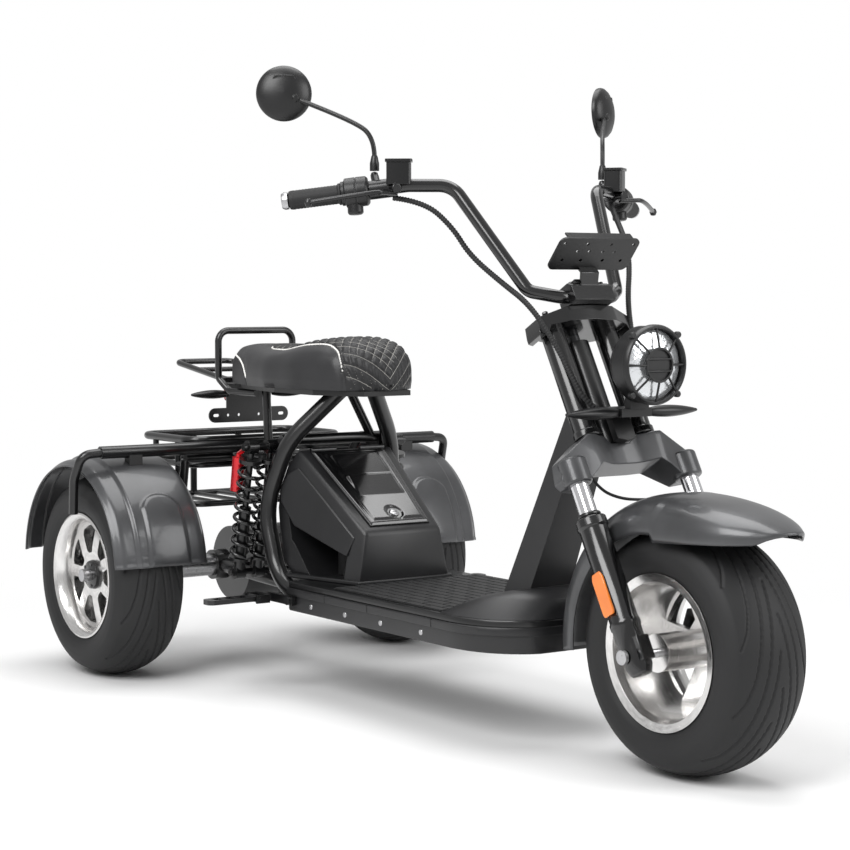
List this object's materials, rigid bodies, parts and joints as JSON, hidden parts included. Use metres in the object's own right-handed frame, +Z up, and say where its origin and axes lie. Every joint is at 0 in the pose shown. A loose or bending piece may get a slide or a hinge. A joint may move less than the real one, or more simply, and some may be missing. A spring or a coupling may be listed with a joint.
{
  "type": "three-wheeled electric scooter",
  "caption": "Three-wheeled electric scooter with a raked front fork, low deck, saddle over a battery box, rear basket and two guarded rear wheels.",
  "frame": {"origin": "centre of the footprint box on the ground the tyres stand on", "axes": "+X forward, +Y to the rider's left, +Z up"},
  "size_m": [2.0224, 1.01, 1.2888],
  "materials": {
    "fork_black": "gloss",
    "frame_black": "satin",
    "box_grey": "satin",
    "lid_gloss": "gloss",
    "plastic_black": "satin",
    "lever_metal": "satin",
    "mat_rubber": "matte",
    "chrome_tube": "polished",
    "brake_steel": "brushed",
    "panel_grey": "satin",
    "alloy": "polished",
    "tyre_rubber": "satin",
    "grip_rubber": "matte",
    "lamp_glass": "clear",
    "mirror_glass": "polished",
    "seat_leather": "satin",
    "damper_black": "satin",
    "reservoir_red": "anodised",
    "spring_steel": "gloss",
    "red_lens": "gloss"
  },
  "bodies": {
    "frame": {"basket": "frame_black", "battery_box": "box_grey", "battery_pack": "plastic_black", "deck": "frame_black", "deck_mat": "mat_rubber", "deck_skirt": "box_grey", "drive_motor": "frame_black", "floor_rails": "frame_black", "grab_rack": "frame_black", "guard_rail": "frame_black", "head_tube": "frame_black", "neck_cover": "box_grey", "plate_bracket": "frame_black", "rear_axle": "brake_steel", "rear_fenders": "panel_grey", "rear_signals": "plastic_black", "rear_subframe": "frame_black", "seat": "seat_leather", "seat_hoops": "frame_black", "seat_pan": "plastic_black", "shock_dampers": "damper_black", "shock_reservoirs": "reservoir_red", "shock_springs": "spring_steel", "swingarm": "frame_black", "tail_lamp": "red_lens"},
    "steering": {"bar_riser": "fork_black", "brake_controls": "lever_metal", "display": "plastic_black", "fork_sliders": "fork_black", "fork_stanchions": "chrome_tube", "front_axle": "brake_steel", "front_fender": "panel_grey", "front_signals": "plastic_black", "grips": "grip_rubber", "handlebar": "fork_black", "headlight_body": "plastic_black", "headlight_guard": "plastic_black", "headlight_lens": "lamp_glass", "lower_yoke": "panel_grey", "mirror_glasses": "mirror_glass", "mirrors": "plastic_black", "switch_housings": "plastic_black", "top_clamp": "fork_black"},
    "front_wheel": {"front_tyre": "tyre_rubber", "front_rim": "alloy", "front_brake_disc": "brake_steel"},
    "rear_wheel_left": {"rear_tyre_left": "tyre_rubber", "rear_rim_left": "alloy"},
    "rear_wheel_right": {"rear_tyre_right": "tyre_rubber", "rear_rim_right": "alloy"},
    "battery_lid": {"battery_lid": "lid_gloss"},
    "peg_left": {"foot_peg_left": "frame_black"},
    "peg_right": {"foot_peg_right": "frame_black"}
  },
  "joints": [
    {"name": "steering_turn", "type": "hinge", "parent": "frame", "child": "steering", "pos_m": [0.48936, 0, 0.64583], "axis": [-0.4848, 0, 0.8746], "range_deg": [-40, 40]},
    {"name": "front_wheel_spin", "type": "hinge", "parent": "steering", "child": "front_wheel", "pos_m": [0.7615, 0, 0.225], "axis": [0, 1, 0], "continuous": true},
    {"name": "rear_wheel_left_spin", "type": "hinge", "parent": "frame", "child": "rear_wheel_left", "pos_m": [-0.7415, 0.3835, 0.225], "axis": [0, 1, 0], "continuous": true},
    {"name": "rear_wheel_right_spin", "type": "hinge", "parent": "frame", "child": "rear_wheel_right", "pos_m": [-0.7415, -0.3835, 0.225], "axis": [0, 1, 0], "continuous": true},
    {"name": "battery_lid_open", "type": "hinge", "parent": "frame", "child": "battery_lid", "pos_m": [-0.35764, 0, 0.51242], "axis": [0, -1, 0], "range_deg": [0, 55]},
    {"name": "peg_left_fold", "type": "hinge", "parent": "frame", "child": "peg_left", "pos_m": [-0.3465, 0.246, 0.204], "axis": [1, 0, 0], "range_deg": [0, 85]},
    {"name": "peg_right_fold", "type": "hinge", "parent": "frame", "child": "peg_right", "pos_m": [-0.3465, -0.246, 0.204], "axis": [-1, 0, 0], "range_deg": [0, 85]}
  ]
}
